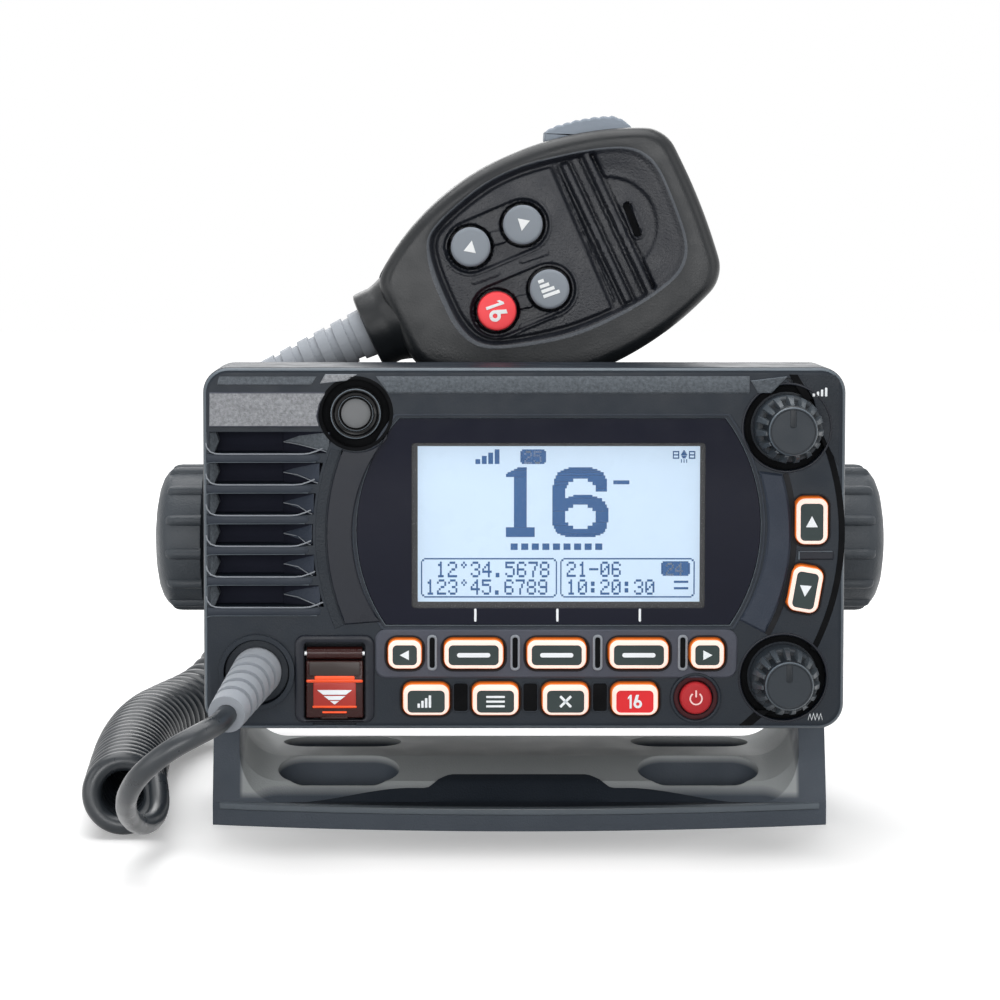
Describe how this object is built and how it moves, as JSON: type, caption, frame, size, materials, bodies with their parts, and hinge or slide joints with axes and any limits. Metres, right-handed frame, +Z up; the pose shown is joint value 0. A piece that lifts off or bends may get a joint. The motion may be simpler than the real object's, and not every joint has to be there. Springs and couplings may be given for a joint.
{
  "type": "vhf marine radio",
  "caption": "Fixed-mount marine VHF radio in a screw-down gimbal bracket, with a fist microphone on a curly cord that stands on its case.",
  "frame": {"origin": "centre of the bracket's mounting face, on the surface that it is screwed to", "axes": "+X to the right as the user sees the display, +Y away from the user towards the antenna socket, +Z up out of the mounting face"},
  "size_m": [0.1974, 0.2142, 0.176],
  "materials": {
    "black_plastic": "moulded, fine texture",
    "bracket_plastic": "moulded, textured",
    "cast_case": "black powder coat on die-cast aluminium",
    "window": "glossy smoked window",
    "display": "backlit liquid crystal",
    "white_plastic": "white diffuser",
    "circuit_board": "green solder mask",
    "key_rubber": "silicone rubber",
    "key_red": "red silicone rubber",
    "key_grey": "grey silicone rubber",
    "black_rubber": "matt rubber",
    "boot_grey": "grey moulded rubber",
    "cord_jacket": "satin polyurethane jacket",
    "knob_plastic": "satin moulded",
    "clear_red": "clear red",
    "steel": "stainless",
    "brass": "turned brass",
    "nickel": "nickel plated",
    "lamp_gloss": "glossy black",
    "lamp_grey": "grey diffuser"
  },
  "bodies": {
    "bracket": {"gimbal_bracket": "bracket_plastic", "cord_tail_radio": "cord_jacket", "cord_coil": "cord_jacket", "cord_tail_mic": "cord_jacket"},
    "radio": {"front_bezel": "black_plastic", "display_lens": "window", "lcd_panel": "display", "lcd_backlight": "white_plastic", "front_board": "circuit_board", "keypad_membrane": "key_grey", "control_pots": "steel", "cover_hinge_pin": "steel", "lamp_ring": "lamp_gloss", "lamp_lens": "lamp_grey", "speaker": "steel", "cord_gland": "black_plastic", "radio_cord_boot": "boot_grey", "rear_chassis": "cast_case", "body_gasket": "black_rubber", "radio_screws": "steel", "main_board": "circuit_board", "power_amplifier": "black_plastic", "antenna_socket": "nickel", "rear_inlets": "black_rubber", "gimbal_washers": "black_rubber", "gimbal_inserts": "brass"},
    "left_clamp": {"gimbal_knob_left": "knob_plastic", "gimbal_screw_left": "steel"},
    "right_clamp": {"gimbal_knob_right": "knob_plastic", "gimbal_screw_right": "steel"},
    "volume_control": {"volume_knob": "knob_plastic", "volume_shaft": "steel"},
    "squelch_control": {"squelch_knob": "knob_plastic", "squelch_shaft": "steel"},
    "distress_cover": {"distress_cover": "clear_red"},
    "distress_button": {"distress_button": "key_red"},
    "key_left": {"key_left": "key_rubber"},
    "key_soft_left": {"key_soft_left": "key_rubber"},
    "key_soft_middle": {"key_soft_middle": "key_rubber"},
    "key_soft_right": {"key_soft_right": "key_rubber"},
    "key_right": {"key_right": "key_rubber"},
    "key_output_power": {"key_output_power": "key_rubber"},
    "key_menu": {"key_menu": "key_rubber"},
    "key_clear": {"key_clear": "key_rubber"},
    "key_calling_channel": {"key_calling_channel": "key_red"},
    "key_up": {"key_up": "key_rubber"},
    "key_down": {"key_down": "key_rubber"},
    "key_power": {"key_power": "key_red"},
    "microphone": {"mic_front_shell": "black_plastic", "mic_rear_shell": "black_plastic", "mic_screws": "steel", "mic_board": "circuit_board", "mic_capsule": "steel", "mic_cord_boot": "boot_grey", "hanger_stud": "steel"},
    "ptt_button": {"ptt_button": "key_grey"},
    "mic_key_down": {"mic_key_down": "key_grey"},
    "mic_key_up": {"mic_key_up": "key_grey"},
    "mic_key_calling_channel": {"mic_key_calling_channel": "key_red"},
    "mic_key_output_power": {"mic_key_output_power": "key_grey"}
  },
  "joints": [
    {"name": "radio_tilt", "type": "hinge", "parent": "bracket", "child": "radio", "pos_m": [0, -0.014, 0.071], "axis": [1, 0, 0], "range_deg": [-20, 12], "deforming": ["cord_tail_radio", "cord_coil", "cord_tail_mic"]},
    {"name": "left_clamp_turn", "type": "hinge", "parent": "radio", "child": "left_clamp", "pos_m": [0, -0.014, 0.071], "axis": [1, 0, 0], "continuous": true},
    {"name": "right_clamp_turn", "type": "hinge", "parent": "radio", "child": "right_clamp", "pos_m": [0, -0.014, 0.071], "axis": [1, 0, 0], "continuous": true},
    {"name": "volume_turn", "type": "hinge", "parent": "radio", "child": "volume_control", "pos_m": [0.0612, -0.062, 0.1019], "axis": [0, 1, 0], "range_deg": [-140, 140]},
    {"name": "squelch_turn", "type": "hinge", "parent": "radio", "child": "squelch_control", "pos_m": [0.0607, -0.062, 0.0432], "axis": [0, 1, 0], "range_deg": [-140, 140]},
    {"name": "cover_flip", "type": "hinge", "parent": "radio", "child": "distress_cover", "pos_m": [-0.04435, -0.061, 0.0489], "axis": [-1, 0, 0], "range_deg": [0, 105], "stiffness_Nm_per_rad": 0.004},
    {"name": "distress_press", "type": "slide", "parent": "radio", "child": "distress_button", "axis": [0, 1, 0], "range_m": [0, 0.0012], "stiffness_N_per_m": 1500},
    {"name": "key_left_press", "type": "slide", "parent": "radio", "child": "key_left", "axis": [0, 1, 0], "range_m": [0, 0.0008], "stiffness_N_per_m": 1500},
    {"name": "key_soft_left_press", "type": "slide", "parent": "radio", "child": "key_soft_left", "axis": [0, 1, 0], "range_m": [0, 0.0008], "stiffness_N_per_m": 1500},
    {"name": "key_soft_middle_press", "type": "slide", "parent": "radio", "child": "key_soft_middle", "axis": [0, 1, 0], "range_m": [0, 0.0008], "stiffness_N_per_m": 1500},
    {"name": "key_soft_right_press", "type": "slide", "parent": "radio", "child": "key_soft_right", "axis": [0, 1, 0], "range_m": [0, 0.0008], "stiffness_N_per_m": 1500},
    {"name": "key_right_press", "type": "slide", "parent": "radio", "child": "key_right", "axis": [0, 1, 0], "range_m": [0, 0.0008], "stiffness_N_per_m": 1500},
    {"name": "key_output_power_press", "type": "slide", "parent": "radio", "child": "key_output_power", "axis": [0, 1, 0], "range_m": [0, 0.0008], "stiffness_N_per_m": 1500},
    {"name": "key_menu_press", "type": "slide", "parent": "radio", "child": "key_menu", "axis": [0, 1, 0], "range_m": [0, 0.0008], "stiffness_N_per_m": 1500},
    {"name": "key_clear_press", "type": "slide", "parent": "radio", "child": "key_clear", "axis": [0, 1, 0], "range_m": [0, 0.0008], "stiffness_N_per_m": 1500},
    {"name": "key_calling_channel_press", "type": "slide", "parent": "radio", "child": "key_calling_channel", "axis": [0, 1, 0], "range_m": [0, 0.0008], "stiffness_N_per_m": 1500},
    {"name": "key_up_press", "type": "slide", "parent": "radio", "child": "key_up", "axis": [0, 1, 0], "range_m": [0, 0.0008], "stiffness_N_per_m": 1500},
    {"name": "key_down_press", "type": "slide", "parent": "radio", "child": "key_down", "axis": [0, 1, 0], "range_m": [0, 0.0008], "stiffness_N_per_m": 1500},
    {"name": "key_power_press", "type": "slide", "parent": "radio", "child": "key_power", "axis": [0, 1, 0], "range_m": [0, 0.0008], "stiffness_N_per_m": 1500},
    {"name": "microphone_lift", "type": "slide", "parent": "radio", "child": "microphone", "axis": [0, 0, 1], "range_m": [0, 0.07], "deforming": ["cord_tail_radio", "cord_coil", "cord_tail_mic"]},
    {"name": "ptt_press", "type": "slide", "parent": "microphone", "child": "ptt_button", "axis": [0.4179, 0, -0.9085], "range_m": [0, 0.002], "stiffness_N_per_m": 1200},
    {"name": "mic_key_down_press", "type": "slide", "parent": "microphone", "child": "mic_key_down", "axis": [0, 1, 0], "range_m": [0, 0.0008], "stiffness_N_per_m": 1500},
    {"name": "mic_key_up_press", "type": "slide", "parent": "microphone", "child": "mic_key_up", "axis": [0, 1, 0], "range_m": [0, 0.0008], "stiffness_N_per_m": 1500},
    {"name": "mic_key_calling_channel_press", "type": "slide", "parent": "microphone", "child": "mic_key_calling_channel", "axis": [0, 1, 0], "range_m": [0, 0.0008], "stiffness_N_per_m": 1500},
    {"name": "mic_key_output_power_press", "type": "slide", "parent": "microphone", "child": "mic_key_output_power", "axis": [0, 1, 0], "range_m": [0, 0.0008], "stiffness_N_per_m": 1500}
  ]
}
